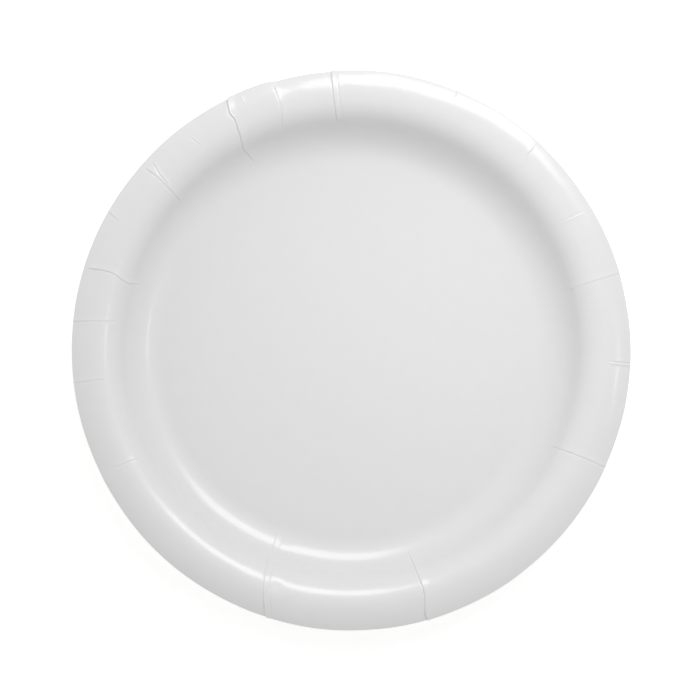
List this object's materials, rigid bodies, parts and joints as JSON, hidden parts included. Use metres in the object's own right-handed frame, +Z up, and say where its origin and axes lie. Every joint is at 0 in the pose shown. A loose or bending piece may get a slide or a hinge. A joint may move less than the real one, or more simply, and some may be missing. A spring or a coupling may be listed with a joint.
{
  "type": "paper plate",
  "caption": "Round shallow plate pressed from one sheet of coated paperboard, with a curved wall, a rolled-over rim and pleats.",
  "frame": {"origin": "centre of the floor's underside, on the surface that the plate stands on", "axes": "+Z up out of the plate's open side; +Y towards the rim at the top of the view from above, +X to its right"},
  "size_m": [0.2286, 0.2286, 0.0179],
  "materials": {
    "coated_board": "satin"
  },
  "bodies": {
    "root": {"plate": "coated_board"}
  },
  "joints": []
}
